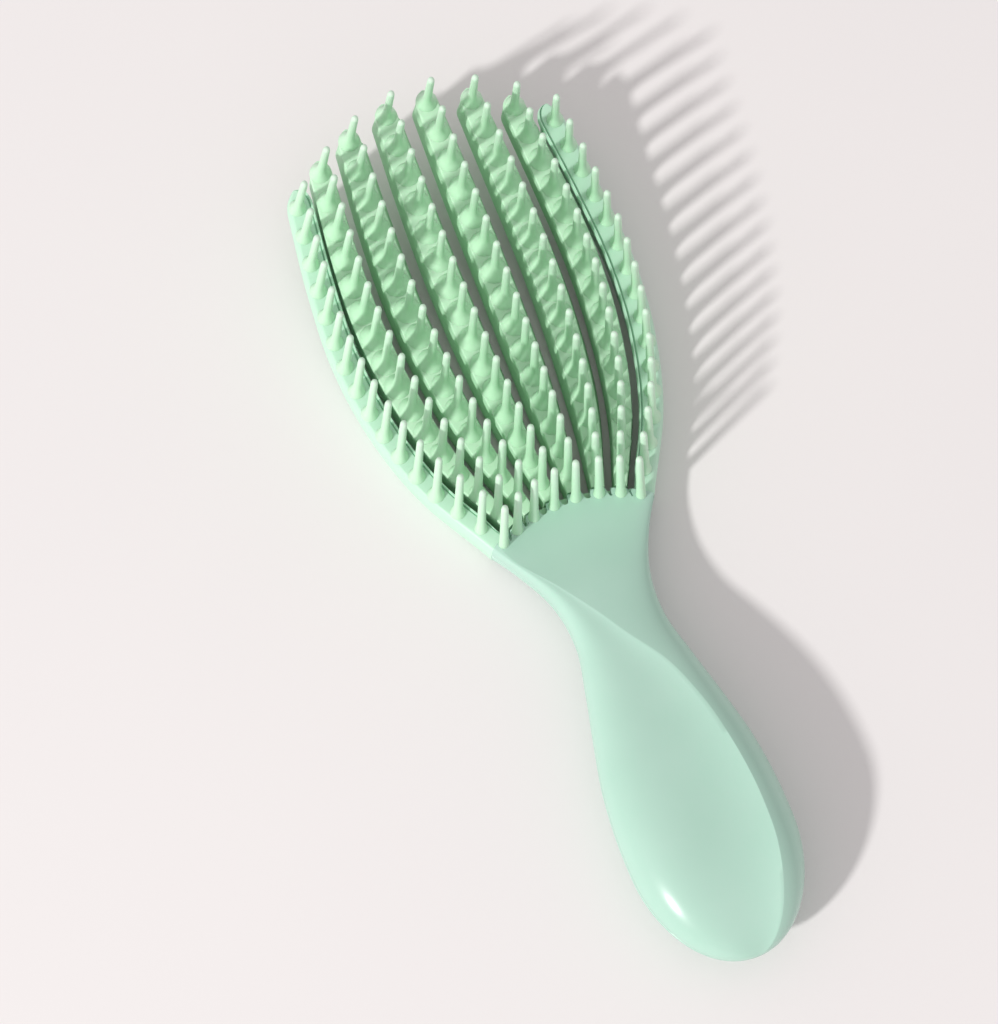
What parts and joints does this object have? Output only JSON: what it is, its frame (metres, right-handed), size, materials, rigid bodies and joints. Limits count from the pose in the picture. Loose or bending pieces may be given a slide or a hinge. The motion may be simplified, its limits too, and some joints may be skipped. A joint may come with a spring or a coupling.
{
  "type": "detangling brush",
  "caption": "Vented detangling brush with a hollow twisted handle, edge rails and springy ribs that carry rows of flared moulded pins.",
  "frame": {"origin": "centre of the bounding box's underside: the brush lies on its back, with its pins up", "axes": "+X across the brush, +Y from the handle towards the tip of the head, +Z out of the pin side"},
  "size_m": [0.0786, 0.2214, 0.0395],
  "materials": {
    "shell_plastic": "satin moulded plastic",
    "rib_plastic": "matte moulded plastic",
    "pin_plastic": "matte flexible plastic"
  },
  "bodies": {
    "handle": {"front_shell": "shell_plastic", "rear_shell": "shell_plastic", "root_socket_bar": "rib_plastic", "left_edge_rail": "shell_plastic", "right_edge_rail": "shell_plastic"},
    "rib_1": {"rib_spine_1": "rib_plastic", "pin_strip_1": "pin_plastic"},
    "rib_2": {"rib_spine_2": "rib_plastic", "pin_strip_2": "pin_plastic"},
    "rib_3": {"rib_spine_3": "rib_plastic", "pin_strip_3": "pin_plastic"},
    "rib_4": {"rib_spine_4": "rib_plastic", "pin_strip_4": "pin_plastic"},
    "rib_5": {"rib_spine_5": "rib_plastic", "pin_strip_5": "pin_plastic"},
    "rib_6": {"rib_spine_6": "rib_plastic", "pin_strip_6": "pin_plastic"}
  },
  "joints": [
    {"name": "rib_1_flex", "type": "hinge", "parent": "handle", "child": "rib_1", "pos_m": [-0.01296, -0.00145, 0.00495], "axis": [1, 0, 0], "range_deg": [-5, 3], "stiffness_Nm_per_rad": 2},
    {"name": "rib_2_flex", "type": "hinge", "parent": "handle", "child": "rib_2", "pos_m": [-0.00818, 0.00024, 0.00482], "axis": [1, 0, 0], "range_deg": [-5, 3], "stiffness_Nm_per_rad": 2},
    {"name": "rib_3_flex", "type": "hinge", "parent": "handle", "child": "rib_3", "pos_m": [-0.00272, 0.00125, 0.00475], "axis": [1, 0, 0], "range_deg": [-5, 3], "stiffness_Nm_per_rad": 2},
    {"name": "rib_4_flex", "type": "hinge", "parent": "handle", "child": "rib_4", "pos_m": [0.00272, 0.00125, 0.00475], "axis": [1, 0, 0], "range_deg": [-5, 3], "stiffness_Nm_per_rad": 2},
    {"name": "rib_5_flex", "type": "hinge", "parent": "handle", "child": "rib_5", "pos_m": [0.00818, 0.00024, 0.00482], "axis": [1, 0, 0], "range_deg": [-5, 3], "stiffness_Nm_per_rad": 2},
    {"name": "rib_6_flex", "type": "hinge", "parent": "handle", "child": "rib_6", "pos_m": [0.01296, -0.00145, 0.00495], "axis": [1, 0, 0], "range_deg": [-5, 3], "stiffness_Nm_per_rad": 2}
  ]
}
